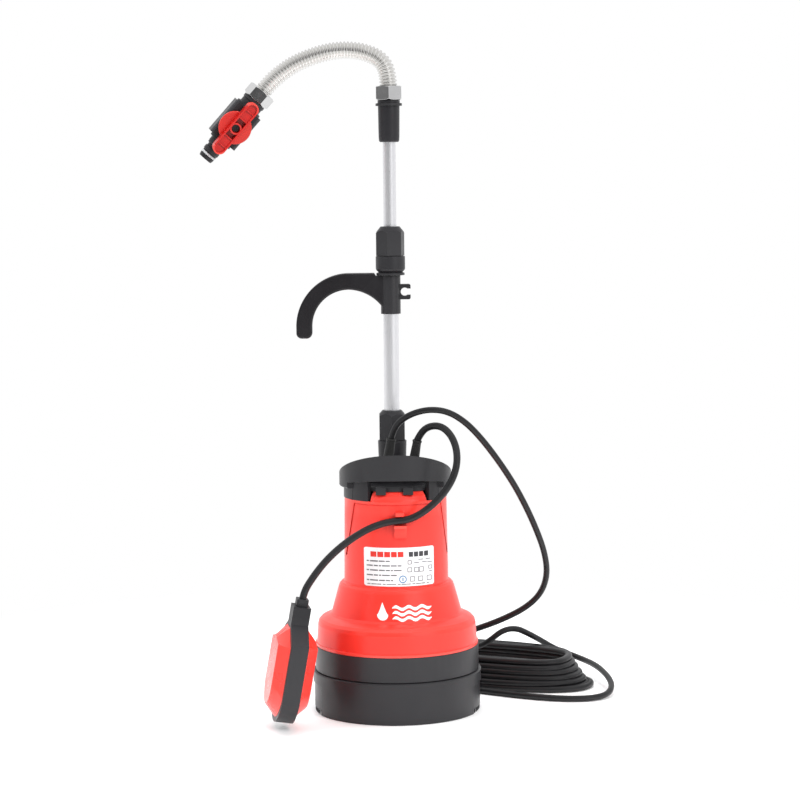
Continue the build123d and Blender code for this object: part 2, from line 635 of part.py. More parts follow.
# ---- float switch ------------------------------------------------------------------------
FLOAT_Y = -90.0
FLOAT_TOP = Vector(-97.0, FLOAT_Y, 126.0)       # middle of the band's top edge
FLOAT_LEAN = 10.3                               # degrees, top towards +X
FLOAT_TURN = -9.8                               # degrees about its own length
FLOAT_L = 121.4
FLOAT_W = 76.0
BAND_T = 18.2
CASE_T = 41.0                                   # over both halves

down = Vector(-math.sin(math.radians(FLOAT_LEAN)), 0, -math.cos(math.radians(FLOAT_LEAN)))
side = Vector(math.cos(math.radians(FLOAT_LEAN)), 0, -math.sin(math.radians(FLOAT_LEAN)))
side = side.rotate(Axis((0, 0, 0), down), FLOAT_TURN)
# local X runs down the float, local Z through its thickness
FLOAT = Plane(origin=FLOAT_TOP, x_dir=down, z_dir=side)


def paddle(length, width, top, inset):
    """Outline of the float seen flat: round-ended paddle with a narrower top, inset all round."""
    half = width / 2 - inset
    end = length - inset
    with BuildSketch(mode=Mode.PRIVATE) as outline:
        with BuildLine():
            Line((top + inset, -11 + inset / 2), (top + 16, -half))
            Line((top + 16, -half), (end - 26, -half))
            ThreePointArc((end - 26, -half), (end, 0), (end - 26, half))
            Line((end - 26, half), (top + 16, half))
            Line((top + 16, half), (top + inset, 11 - inset / 2))
            Line((top + inset, 11 - inset / 2), (top + inset, -11 + inset / 2))
        make_face()
    return outline.sketch


def make_float_half(direction):
    """One red shell: rim against the band, sloped shoulder, flat face; hollow inside."""
    with BuildPart() as half:
        for inset, hollow, mode in ((0, 0, Mode.ADD), (3.0, 2.2, Mode.SUBTRACT)):
            with BuildSketch(FLOAT.offset(direction * (BAND_T / 2 - hollow))):
                add(paddle(FLOAT_L - 5, FLOAT_W - 5, 22, inset))
            with BuildSketch(FLOAT.offset(direction * (CASE_T / 2 - hollow))):
                add(paddle(FLOAT_L - 5, FLOAT_W - 5, 22, inset + 12))
            loft(mode=mode)
    return half


float_shell_left = make_float_half(-1)
float_shell_right = make_float_half(1)

with BuildPart() as float_band:
    with BuildSketch(FLOAT.offset(-BAND_T / 2 + 0.1)):
        add(paddle(FLOAT_L, FLOAT_W, 18, 0))
        add(paddle(FLOAT_L, FLOAT_W, 22, 9), mode=Mode.SUBTRACT)
    extrude(amount=BAND_T - 0.2)
    with BuildSketch(FLOAT.offset(-BAND_T / 2 + 0.1)):
        with Locations((11, 0)):
            Rectangle(22, 22)
    extrude(amount=BAND_T - 0.2)
    with BuildSketch(Plane(origin=FLOAT.origin, x_dir=FLOAT.y_dir, z_dir=-FLOAT.x_dir)):
        RectangleRounded(14, 12.2, 2)
    extrude(amount=7.5)
with BuildPart() as float_switch:
    with BuildSketch(FLOAT.offset(-6)):
        with Locations((62, 0)):
            RectangleRounded(34, 20, 2)
    extrude(amount=12)
with BuildPart() as float_ball:
    with Locations(FLOAT.location * Location((102, 0, 0))):
        Sphere(6)

# ---- cords -------------------------------------------------------------------------------
FLOAT_MOUTH = FLOAT_TOP - down * 7.5
FLOAT_ROUTE = [
    FLOAT_EXIT[1], (28.0, -14.5, 295.0), (37.0, -21.5, 301.5), (48.5, -31.5, 302.0), (58.0, -42.0, 294.0),
    (63.5, -51.5, 280.5), (63.5, -59.0, 264.5), (58.0, -63.5, 249.0), (48.5, -64.5, 235.0),
    (36.5, -63.5, 223.0), (22.5, -61.2, 212.8), (9.5, -59.4, 207.9), (-1.8, FLOAT_PIVOT[1], FLOAT_PIVOT[2]),
]
SWING_ROUTE = [
    FLOAT_PIVOT, (-22.0, -61.5, 203.0), (-40.0, -66.5, 194.5), (-58.0, -73.0, 182.5), (-73.5, -79.5, 168.5),
    (-86.0, -85.0, 153.0), tuple(FLOAT_MOUTH - down * 9.5), tuple(FLOAT_MOUTH),
]
MAINS_ROUTE = [
    MAINS_EXIT[1], (-1.0, -15.2, 298.5), (7.5, -20.5, 308.5), (21.0, -26.0, 316.0), (38.0, -29.0, 319.5),
    (56.0, -27.0, 316.5), (74.0, -20.0, 304.5), (91.0, -10.0, 285.5), (108.0, 1.0, 262.0),
    (124.5, 14.0, 236.0), (138.0, 26.0, 210.0), (149.5, 38.0, 184.0), (159.5, 51.0, 156.5),
    (163.5, 63.5, 130.0), (157.5, 75.0, 107.0), (141.5, 85.0, 89.5), (117.5, 94.0, 75.5),
    (90.0, 102.5, 63.5), (62.0, 111.0, 54.0), (36.0, 120.0, 48.0), (15.0, 133.5, 46.5),
    (2.5, 155.0, 46.0), (5.5, 180.5, 46.5), (25.0, 197.0, 47.0), (49.5, 193.5, 46.0), (67.0, 175.5, 42.5),
    (79.0, 157.0, 39.5), (92.0, 141.0, 40.5), (107.5, 132.5, 48.5), (124.0, 132.5, 57.5),
    (141.0, 140.0, 55.5), (157.5, 153.5, 46.5), (171.0, 166.5, 39.5), (186.0, 171.0, 31.0),
    (201.5, 163.5, 24.0), (213.5, 147.5, 19.5), (221.0, 126.5, 18.0), (226.5, 103.0, 16.0),
    (231.0, 79.0, 12.0), (232.5, 54.0, 8.0), (226.0, 31.0, 4.5), (210.0, 16.5, 3.5), (184.0, 13.5, 3.4), (156.0, 21.5, 3.5),
    (128.0, 35.5, 3.4), (101.0, 52.0, 3.5), (75.0, 69.0, 3.4), (47.0, 84.0, 3.5),
    (19.0, 93.5, 3.4), (-5.0, 104.0, 3.5), (-20.5, 121.0, 3.4), (-21.5, 142.0, 3.5), (-12.5, 158.0, 3.6),
]
float_cord_fixed = tube(FLOAT_ROUTE, FLOAT_CORD_D)
float_cord_swing = tube(SWING_ROUTE, FLOAT_CORD_D)
with float_cord_swing:
    with Locations(FLOAT_PIVOT):
        Sphere(FLOAT_CORD_D / 2)
mains_cord = tube(MAINS_ROUTE, MAINS_CORD_D)

# oval coil of the lead, lying behind the foot
COIL_CENTRE = (98.0, 129.5)
COIL_TURN = -24.2
COIL_L, COIL_W, COIL_BAND, COIL_H = 240.0, 112.0, 27.0, 37.0
COIL = Plane(origin=(*COIL_CENTRE, 0)).rotated((0, 0, COIL_TURN))
with BuildPart() as mains_coil:
    with BuildSketch(COIL):
        SlotOverall(COIL_L, COIL_W)
        SlotOverall(COIL_L - 2 * COIL_BAND, COIL_W - 2 * COIL_BAND, mode=Mode.SUBTRACT)
    extrude(amount=COIL_H)
    fillet(mains_coil.edges().filter_by(Plane.XY), 6)

PLUG = Plane(origin=(-10.8, 178.2, 18.6), x_dir=(0, 0, 1), z_dir=(-0.75, 0.66, 0))
with BuildPart() as mains_plug:
    add(turned([(0, 0), (4.6, 0), (6.2, 22), (13, 26), (18, 34), (18.4, 56), (17.4, 58), (0, 58)], PLUG).part)
    with BuildSketch(PLUG.offset(57.5)):
        with Locations((0, -9.5), (0, 9.5)):
            Circle(2.4)
    extrude(amount=19.5)

# ---- output ------------------------------------------------------------------------------
pieces = {
    "base_strainer": base_strainer, "base_ring": base_ring, "suction_cover": suction_cover,
    "volute_casing": volute_casing, "impeller": impeller, "impeller_nut": impeller_nut,
    "chamber_gasket": chamber_gasket, "base_screws": base_screws, "motor_shaft": motor_shaft,
    "shaft_seal": shaft_seal, "lower_bearing": lower_bearing, "upper_bearing": upper_bearing,
    "motor_can": motor_can, "bearing_plate": bearing_plate, "can_cap": can_cap,
    "stator_core": stator_core, "stator_windings": stator_windings, "rotor_core": rotor_core,
    "run_capacitor": run_capacitor, "outer_housing": outer_housing, "rating_label": rating_label,
    "top_lid": top_lid, "carry_handle": carry_handle, "mains_gland": mains_gland,
    "float_gland": float_gland, "outlet_fitting": outlet_fitting, "lower_lock_nut": lower_lock_nut,
    "lower_seal": lower_seal, "lower_tube": lower_tube, "tube_collar": tube_collar,
    "upper_lock_nut": upper_lock_nut, "clamp_ring": clamp_ring, "guide_bush": guide_bush,
    "upper_tube": upper_tube, "tube_stop": tube_stop, "hanging_hook": hanging_hook,
    "hose_adapter": hose_adapter, "hose_nut_top": hose_nut_top, "hose_nut_end": hose_nut_end,
    "hose_washer_top": hose_washer_top, "hose_washer_end": hose_washer_end, "flex_hose": flex_hose,
    "valve_body": valve_body, "valve_ball": valve_ball, "valve_stem": valve_stem,
    "valve_seats": valve_seats, "valve_lever": valve_lever, "lever_screw": lever_screw,
    "quick_nipple": quick_nipple, "nipple_oring": nipple_oring, "float_shell_left": float_shell_left,
    "float_shell_right": float_shell_right, "float_band": float_band, "float_switch": float_switch,
    "float_ball": float_ball, "float_cord_fixed": float_cord_fixed, "float_cord_swing": float_cord_swing,
    "mains_cord": mains_cord, "mains_coil": mains_coil, "mains_plug": mains_plug,
}
for label, piece in pieces.items():
    write(piece, label)
print(len(pieces), "nodes")
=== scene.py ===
import bpy
import json
import math
from mathutils import Matrix, Vector


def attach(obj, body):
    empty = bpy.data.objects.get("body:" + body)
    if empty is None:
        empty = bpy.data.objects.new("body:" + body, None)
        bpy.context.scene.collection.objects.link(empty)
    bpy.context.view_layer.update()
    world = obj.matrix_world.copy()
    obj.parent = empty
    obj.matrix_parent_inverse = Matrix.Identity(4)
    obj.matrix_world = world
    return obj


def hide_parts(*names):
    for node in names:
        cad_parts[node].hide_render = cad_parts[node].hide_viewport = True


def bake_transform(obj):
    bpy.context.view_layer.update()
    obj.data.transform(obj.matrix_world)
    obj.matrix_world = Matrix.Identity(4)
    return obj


# Rain-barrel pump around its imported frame: metres, +Z up, front towards -Y.

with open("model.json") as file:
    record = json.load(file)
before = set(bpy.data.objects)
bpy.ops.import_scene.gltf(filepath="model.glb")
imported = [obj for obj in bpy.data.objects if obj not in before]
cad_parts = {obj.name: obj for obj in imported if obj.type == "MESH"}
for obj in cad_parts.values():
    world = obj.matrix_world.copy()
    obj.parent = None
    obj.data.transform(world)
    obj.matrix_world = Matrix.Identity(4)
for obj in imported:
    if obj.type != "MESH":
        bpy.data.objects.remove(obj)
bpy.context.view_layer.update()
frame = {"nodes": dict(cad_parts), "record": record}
nodes = frame["nodes"]
MM = 0.001


# ---- camera, light and floor ---------------------------------------------------------------
CAMERA_PLACE = Vector((0.0, -2.5, 0.57))
CAMERA_DOWN = math.radians(5.56)
CAMERA_ROLL = math.radians(0.6)
LENS = 108.0
AIM = (0, 0, 0.3)                   # what the lights point at


def make_camera():
    data = bpy.data.cameras.new("camera")
    data.lens = LENS
    data.sensor_width = 36.0
    data.shift_x = 0.0069
    data.dof.use_dof = False
    camera = bpy.data.objects.new("camera", data)
    level_right = Vector((1, 0, 0))
    level_up = Vector((0, math.sin(CAMERA_DOWN), math.cos(CAMERA_DOWN)))
    right = level_right * math.cos(CAMERA_ROLL) - level_up * math.sin(CAMERA_ROLL)
    up = level_right * math.sin(CAMERA_ROLL) + level_up * math.cos(CAMERA_ROLL)
    turn = Matrix((right, up, right.cross(up))).transposed()
    camera.matrix_world = Matrix.Translation(CAMERA_PLACE) @ turn.to_4x4()
    bpy.context.scene.collection.objects.link(camera)
    bpy.context.scene.camera = camera


def area_light(name, place, target, size, power, tint=(1, 1, 1)):
    data = bpy.data.lights.new(name, "AREA")
    data.shape = "RECTANGLE"
    data.size, data.size_y = size
    data.energy = power
    data.color = tint
    light = bpy.data.objects.new(name, data)
    light.location = place
    light.visible_glossy = False
    light.rotation_euler = (Vector(target) - Vector(place)).to_track_quat("-Z", "Y").to_euler()
    bpy.context.scene.collection.objects.link(light)


# what mirrors see round the object: degrees from the camera's side, and brightness
STUDIO_WALLS = [(-180, 1.0), (-100, 1.15), (-72, 0.35), (-45, 0.14), (0, 0.12), (18, 0.3), (27, 1.5),
                (52, 1.5), (64, 0.55), (88, 1.1), (180, 1.0)]
CEILING = 1.1
CEILING_FROM = (0.35, 0.85)         # height of the view direction where the walls turn into the ceiling
STUDIO_STRENGTH = 0.8
FLOOR_HALF = 4.0
FLOOR_FADE = (0.30, 0.75)           # distances where the floor starts and ends its turn to plain white


def make_world():
    """White studio: white to the camera, dark on the camera's side and bright all round in mirrors."""
    world = bpy.data.worlds.new("studio")
    world.use_nodes = True
    bpy.context.scene.world = world
    tree = world.node_tree
    tree.nodes.clear()
    link = tree.links.new

    def math_node(operation, *inputs):
        made = tree.nodes.new("ShaderNodeMath")
        made.operation = operation
        for socket, value in zip(made.inputs, inputs):
            if isinstance(value, (int, float)):
                socket.default_value = value
            else:
                link(value, socket)
        return made.outputs[0]

    coord = tree.nodes.new("ShaderNodeTexCoord")
    split = tree.nodes.new("ShaderNodeSeparateXYZ")
    link(coord.outputs["Generated"], split.inputs[0])
    turn = math_node("ARCTAN2", split.outputs["X"], math_node("MULTIPLY", split.outputs["Y"], -1.0))
    place = math_node("MULTIPLY_ADD", turn, 0.5 / math.pi, 0.5)
    walls = tree.nodes.new("ShaderNodeValToRGB")
    stops = walls.color_ramp.elements
    while len(stops) < len(STUDIO_WALLS):
        stops.new(0.5)
    for stop, (degrees, value) in zip(stops, STUDIO_WALLS):
        stop.position = degrees / 360 + 0.5
        stop.color = (value, value, value * 1.01, 1)
    link(place, walls.inputs["Fac"])
    upward = tree.nodes.new("ShaderNodeMapRange")
    upward.inputs["From Min"].default_value = CEILING_FROM[0]
    upward.inputs["From Max"].default_value = CEILING_FROM[1]
    link(split.outputs["Z"], upward.inputs["Value"])
    dome = tree.nodes.new("ShaderNodeMix")
    dome.data_type = "RGBA"
    dome.inputs["B"].default_value = (CEILING, CEILING, CEILING, 1)
    link(upward.outputs["Result"], dome.inputs["Factor"])
    link(walls.outputs["Color"], dome.inputs["A"])
    lit = tree.nodes.new("ShaderNodeBackground")
    lit.inputs["Strength"].default_value = STUDIO_STRENGTH
    link(dome.outputs["Result"], lit.inputs["Color"])
    seen = tree.nodes.new("ShaderNodeBackground")
    seen.inputs["Color"].default_value = (1, 1, 1, 1)
    path = tree.nodes.new("ShaderNodeLightPath")
    mix = tree.nodes.new("ShaderNodeMixShader")
    link(path.outputs["Is Camera Ray"], mix.inputs["Fac"])
    link(lit.outputs[0], mix.inputs[1])
    link(seen.outputs[0], mix.inputs[2])
    out = tree.nodes.new("ShaderNodeOutputWorld")
    link(mix.outputs[0], out.inputs["Surface"])


def make_floor():
    """Pale floor that takes soft shadows near the object and turns to plain white further out."""
    mesh = bpy.data.meshes.new("floor")
    corners = [(x * FLOOR_HALF, y * FLOOR_HALF, 0) for x, y in ((-1, -1), (1, -1), (1, 1), (-1, 1))]
    mesh.from_pydata(corners, [], [(0, 1, 2, 3)])
    floor = bpy.data.objects.new("floor", mesh)
    bpy.context.scene.collection.objects.link(floor)
    paint = bpy.data.materials.new("studio_floor")
    paint.use_nodes = True
    tree = paint.node_tree
    shader = tree.nodes["Principled BSDF"]
    shader.inputs["Base Color"].default_value = (0.96, 0.96, 0.965, 1)
    shader.inputs["Roughness"].default_value = 0.5
    white = tree.nodes.new("ShaderNodeEmission")
    white.inputs["Color"].default_value = (1, 1, 1, 1)
    coord = tree.nodes.new("ShaderNodeTexCoord")
    distance = tree.nodes.new("ShaderNodeVectorMath")
    distance.operation = "LENGTH"
    tree.links.new(coord.outputs["Object"], distance.inputs[0])
    spread = tree.nodes.new("ShaderNodeMapRange")
    spread.interpolation_type = "SMOOTHSTEP"
    spread.inputs["From Min"].default_value = FLOOR_FADE[0]
    spread.inputs["From Max"].default_value = FLOOR_FADE[1]
    tree.links.new(distance.outputs["Value"], spread.inputs["Value"])
    mix = tree.nodes.new("ShaderNodeMixShader")
    tree.links.new(spread.outputs["Result"], mix.inputs["Fac"])
    tree.links.new(shader.outputs[0], mix.inputs[1])
    tree.links.new(white.outputs[0], mix.inputs[2])
    tree.links.new(mix.outputs[0], tree.nodes["Material Output"].inputs["Surface"])
    mesh.materials.append(paint)


make_camera()
make_world()
make_floor()
bpy.context.scene.view_settings.view_transform = "Standard"
area_light("key", (1.3, -1.9, 1.7), AIM, (1.4, 1.4), 52, (1, 0.99, 0.98))
area_light("fill", (-1.9, -1.2, 1.1), AIM, (0.7, 1.8), 26, (0.98, 0.99, 1))
area_light("top", (0.1, 0.3, 2.4), AIM, (1.8, 1.4), 30)
area_light("back", (-0.6, 1.9, 1.3), AIM, (1.8, 1.2), 22)


# ---- materials ------------------------------------------------------------------------------
class Surface:
    """A procedural material: a base colour that varies, a varied roughness and a fine bump."""

    def __init__(self, name, color, roughness, metallic=0.0):
        self.material = bpy.data.materials.new(name)
        self.material.use_nodes = True
        self.tree = self.material.node_tree
        self.shader = self.tree.nodes["Principled BSDF"]
        self.shader.inputs["Metallic"].default_value = metallic
        self.shader.inputs["Roughness"].default_value = roughness
        self.color, self.roughness = color, roughness
        self.normal = None
        self.coord = self.node("ShaderNodeTexCoord").outputs["Object"]

    def node(self, kind, **values):
        made = self.tree.nodes.new(kind)
        for name, value in values.items():
            setattr(made, name, value)
        return made

    def link(self, start, end):
        self.tree.links.new(start, end)

    def noise(self, scale, detail, stretch):
        place = self.node("ShaderNodeMapping")
        place.inputs["Scale"].default_value = stretch
        self.link(self.coord, place.inputs["Vector"])
        noise = self.node("ShaderNodeTexNoise")
        noise.inputs["Scale"].default_value = scale
        noise.inputs["Detail"].default_value = detail
        self.link(place.outputs[0], noise.inputs["Vector"])
        return noise.outputs["Fac"]

    def ramp(self, factor, low, high, low_value, high_value):
        ramp = self.node("ShaderNodeMapRange")
        ramp.inputs["From Min"].default_value = low
        ramp.inputs["From Max"].default_value = high
        ramp.inputs["To Min"].default_value = low_value
        ramp.inputs["To Max"].default_value = high_value
        self.link(factor, ramp.inputs["Value"])
        return ramp.outputs["Result"]

    def mix(self, factor, first, second):
        mix = self.node("ShaderNodeMix", data_type="RGBA")
        self.link(factor, mix.inputs["Factor"])
        for socket, value in ((mix.inputs["A"], first), (mix.inputs["B"], second)):
            if isinstance(value, tuple):
                socket.default_value = (*value, 1)
            else:
                self.link(value, socket)
        return mix.outputs["Result"]

    def vary_color(self, scale, spread, stretch=(1, 1, 1)):
        """Blends between a darker and a lighter tone of the base colour."""
        darker = tuple(c * (1 - spread) for c in self.color)
        lighter = tuple(min(1.0, c * (1 + spread)) for c in self.color)
        factor = self.ramp(self.noise(scale, 4.0, stretch), 0.3, 0.7, 0.0, 1.0)
        self.base = self.mix(factor, darker, lighter)
        self.link(self.base, self.shader.inputs["Base Color"])

    def painted_edge_highlight(self, color, amount):
        """Painted highlight: a lighter tone along the convex edges, where Pointiness is above a half."""
        edge = self.node("ShaderNodeNewGeometry").outputs["Pointiness"]
        factor = self.ramp(edge, 0.52, 0.62, 0.0, amount)
        self.base = self.mix(factor, self.base, color)
        self.link(self.base, self.shader.inputs["Base Color"])

    def vary_roughness(self, scale, spread, stretch=(1, 1, 1)):
        value = self.ramp(self.noise(scale, 3.0, stretch), 0.3, 0.7,
                          self.roughness - spread, self.roughness + spread)
        self.link(value, self.shader.inputs["Roughness"])

    def bump(self, scale, depth, stretch=(1, 1, 1)):
        """Adds a fine relief, depth in metres, on any relief made before."""
        relief = self.node("ShaderNodeBump")
        relief.inputs["Distance"].default_value = depth
        relief.inputs["Strength"].default_value = 1.0
        self.link(self.noise(scale, 2.0, stretch), relief.inputs["Height"])
        if self.normal:
            self.link(self.normal, relief.inputs["Normal"])
        self.normal = relief.outputs["Normal"]
        self.link(self.normal, self.shader.inputs["Normal"])

    def soft_edges(self, radius):
        """Rounds the look of sharp edges."""
        bevel = self.node("ShaderNodeBevel", samples=4)
        bevel.inputs["Radius"].default_value = radius
        self.normal = bevel.outputs["Normal"]
        self.link(self.normal, self.shader.inputs["Normal"])


def plastic(name, color, roughness, grain=0.000008, spread=0.06, edge=0.0006, light=None, coat=0.0):
    """Moulded plastic: grain is the depth of its texture, light the tone of the painted highlight along its
    convex edges.
    """
    s = Surface(name, color, roughness)
    s.shader.inputs["Specular IOR Level"].default_value = 0.32 if max(color) < 0.03 else 0.5
    s.soft_edges(edge)
    s.vary_color(26.0, spread)
    # painted highlight: the convex edges take the lighter light tone
    if light:
        s.painted_edge_highlight(light, 0.5)
    s.vary_roughness(60.0, 0.05)
    s.bump(2200.0, grain)
    s.bump(35.0, 0.00006)
    s.shader.inputs["Coat Weight"].default_value = coat
    s.shader.inputs["Coat Roughness"].default_value = 0.12
    return s.material


def drawn_metal(name, color, roughness, stretch, depth=0.000012, spread=0.05, edge=0.0003):
    """Metal with fine lines along its longest stretch."""
    s = Surface(name, color, roughness, 1.0)
    s.soft_edges(edge)
    s.vary_color(40.0, spread, stretch)
    s.vary_roughness(90.0, 0.06, stretch)
    s.bump(900.0, depth, stretch)
    return s.material


def rubber(name, color, roughness=0.5):
    s = Surface(name, color, roughness)
    s.vary_color(60.0, 0.12)
    s.vary_roughness(45.0, 0.07)
    s.bump(1400.0, 0.000018)
    s.shader.inputs["Specular IOR Level"].default_value = 0.35
    return s.material


def winding(name):
    """Enamelled copper wire: fine turned lines."""
    s = Surface(name, (0.55, 0.2, 0.07), 0.35, 0.9)
    s.vary_color(120.0, 0.2, (1, 1, 8))
    s.vary_roughness(80.0, 0.08)
    s.bump(900.0, 0.0002, (0.2, 0.2, 1))
    return s.material


def laminated(name):
    """Stacked sheet steel: thin level layers."""
    s = Surface(name, (0.22, 0.22, 0.23), 0.5, 0.8)
    s.vary_color(900.0, 0.25, (0.02, 0.02, 1))
    s.vary_roughness(70.0, 0.08)
    s.bump(1200.0, 0.0001, (0.02, 0.02, 1))
    return s.material


UP = (1, 1, 0.03)                   # lines drawn along Z
EVEN = (1, 1, 1)
# light= in a plastic is the tone of its painted highlight along convex edges
finishes = {
    "black_plastic": plastic("black_plastic", (0.019, 0.0185, 0.021), 0.36, light=(0.035, 0.035, 0.037)),
    "hook_plastic": plastic("hook_plastic", (0.013, 0.012, 0.0135), 0.22, 0.000004,
                            light=(0.04, 0.04, 0.043)),
    "valve_plastic": plastic("valve_plastic", (0.018, 0.018, 0.020), 0.34, 0.000012, 0.1,
                             light=(0.06, 0.06, 0.065)),
    "red_plastic": plastic("red_plastic", (0.84, 0.036, 0.024), 0.33, 0.000012, 0.03, 0.0003,
                           light=(0.95, 0.12, 0.09), coat=0.1),
    "lever_red": plastic("lever_red", (0.50, 0.009, 0.006), 0.3, 0.000012, 0.05, edge=0.0005,
                         light=(0.86, 0.10, 0.07)),
    "float_red": plastic("float_red", (0.84, 0.040, 0.027), 0.3, 0.000012, 0.03,
                         light=(0.95, 0.16, 0.12), coat=0.15),
    "float_black": plastic("float_black", (0.016, 0.016, 0.018), 0.42, light=(0.04, 0.04, 0.043)),
    "inner_plastic": plastic("inner_plastic", (0.10, 0.10, 0.11), 0.5),
    "label_film": plastic("label_film", (0.82, 0.82, 0.83), 0.3, 0.000006, 0.02, 0.0001, coat=0.3),
    "tube_aluminium": drawn_metal("tube_aluminium", (0.88, 0.88, 0.90), 0.46, UP),
    "chrome_nut": drawn_metal("chrome_nut", (0.74, 0.74, 0.74), 0.13, EVEN, 0.000008, 0.04, 0.0005),
    "hose_steel": drawn_metal("hose_steel", (0.82, 0.81, 0.79), 0.2, EVEN, 0.00001, 0.05, 0.0001),
    "steel": drawn_metal("steel", (0.62, 0.62, 0.63), 0.32, EVEN),
    "core_steel": laminated("core_steel"),
    "copper_winding": winding("copper_winding"),
    "capacitor_shell": plastic("capacitor_shell", (0.72, 0.72, 0.69), 0.35),
    "ball_brass": drawn_metal("ball_brass", (0.78, 0.72, 0.60), 0.18, EVEN),
    "seal_rubber": rubber("seal_rubber", (0.02, 0.02, 0.02)),
    "oring_grey": rubber("oring_grey", (0.55, 0.56, 0.57)),
    "seat_white": plastic("seat_white", (0.85, 0.85, 0.83), 0.4),
    "float_cord_rubber": rubber("float_cord_rubber", (0.014, 0.014, 0.015), 0.40),
    "mains_cord_rubber": rubber("mains_cord_rubber", (0.011, 0.011, 0.012), 0.38),
    "plug_rubber": plastic("plug_rubber", (0.014, 0.014, 0.015), 0.5),
}
# each ink piece is made with the finish of what it is printed on, which its ink then replaces
inks = {
    "ink_red": plastic("ink_red", (0.72, 0.03, 0.02), 0.4, 0.000006, 0.05, 0.00005),
    "ink_dark": plastic("ink_dark", (0.04, 0.04, 0.045), 0.4, 0.000006, 0.1, 0.00005),
    "ink_grey": plastic("ink_grey", (0.16, 0.16, 0.17), 0.4, 0.000006, 0.1, 0.00005),
    "ink_blue": plastic("ink_blue", (0.10, 0.24, 0.42), 0.4, 0.000006, 0.05, 0.00005),
    "ink_white": plastic("ink_white", (0.88, 0.88, 0.88), 0.35, 0.000006, 0.02, 0.00005),
}

# every CAD node takes the finish of its own slot
for item in frame["record"]["subparts"]:
    mesh = nodes[item["node"]].data
    mesh.materials.clear()
    mesh.materials.append(finishes[item["material_slot"]])
# painted shade: the lever screw gets a near-black colour that stands for the shade of its deep hole
nodes["lever_screw"].data.materials[0] = drawn_metal("screw_painted_shade", (0.05, 0.045, 0.045), 0.35, EVEN)


# ---- mesh helpers ---------------------------------------------------------------------------
def new_piece(name, points, faces, body, finish, smooth=True):
    mesh = bpy.data.meshes.new(name)
    mesh.from_pydata(points, [], faces)
    mesh.update()
    if smooth:
        mesh.shade_smooth()
    piece = bpy.data.objects.new(name, mesh)
    bpy.context.scene.collection.objects.link(piece)
    mesh.materials.append(finishes[finish])
    if body:
        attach(piece, body)
    return piece


def spline_curve(name, points, radius):
    """A cord's curve: one smooth NURBS spline with these control points."""
    data = bpy.data.curves.new(name, "CURVE")
    data.dimensions = "3D"
    spline = data.splines.new("NURBS")
    spline.points.add(len(points) - 1)
    for target, point in zip(spline.points, points):
        target.co = (*point, 1)
    spline.order_u = 3
    spline.use_endpoint_u = True
    data.resolution_u = 6
    data.bevel_depth = radius
    data.bevel_resolution = 4
    data.use_fill_caps = True
    piece = bpy.data.objects.new(name, data)
    bpy.context.scene.collection.objects.link(piece)
    return piece


def spline_path(points, step):
    """Points about step apart on the smooth spline that has these control points."""
    curve = spline_curve("path_source", points, 0)
    curve.data.use_fill_caps = False
    curve.data.resolution_u = 24
    mesh = bpy.data.meshes.new_from_object(curve)
    line = [vertex.co.copy() for vertex in mesh.vertices]
    bpy.data.meshes.remove(mesh)
    bpy.data.curves.remove(curve.data)
    lengths = [0.0]
    for first, second in zip(line, line[1:]):
        lengths.append(lengths[-1] + (second - first).length)
    count = max(2, round(lengths[-1] / step))
    spaced, at = [], 0
    for index in range(count + 1):
        want = lengths[-1] * index / count
        while at < len(line) - 2 and lengths[at + 1] < want:
            at += 1
        share = (want - lengths[at]) / max(lengths[at + 1] - lengths[at], 1e-9)
        spaced.append(line[at].lerp(line[at + 1], share))
    return spaced


def swept(path, radius_at, sides):
    """Rings round a path, without twist; radius_at takes the length along it and the angle."""
    points, faces = [], []
    along = 0.0
    tangent = (path[1] - path[0]).normalized()
    across = tangent.orthogonal().normalized()
    for index, centre in enumerate(path):
        ahead = path[min(index + 1, len(path) - 1)]
        behind = path[max(index - 1, 0)]
        tangent = (ahead - behind).normalized()
        across = (across - tangent * across.dot(tangent)).normalized()
        other = tangent.cross(across)
        if index:
            along += (centre - path[index - 1]).length
        for side in range(sides):
            angle = 2 * math.pi * side / sides
            radius = radius_at(along, angle)
            points.append(centre + (across * math.cos(angle) + other * math.sin(angle)) * radius)
    for ring in range(len(path) - 1):
        for side in range(sides):
            following = (side + 1) % sides
            low, high = ring * sides, (ring + 1) * sides
            faces.append((low + side, low + following, high + following, high + side))
    faces.append(tuple(reversed(range(sides))))
    faces.append(tuple(range((len(path) - 1) * sides, len(path) * sides)))
    return points, faces


# ---- cords ----------------------------------------------------------------------------------
FLOAT_CORD = 7.4 * MM
MAINS_CORD = 6.6 * MM

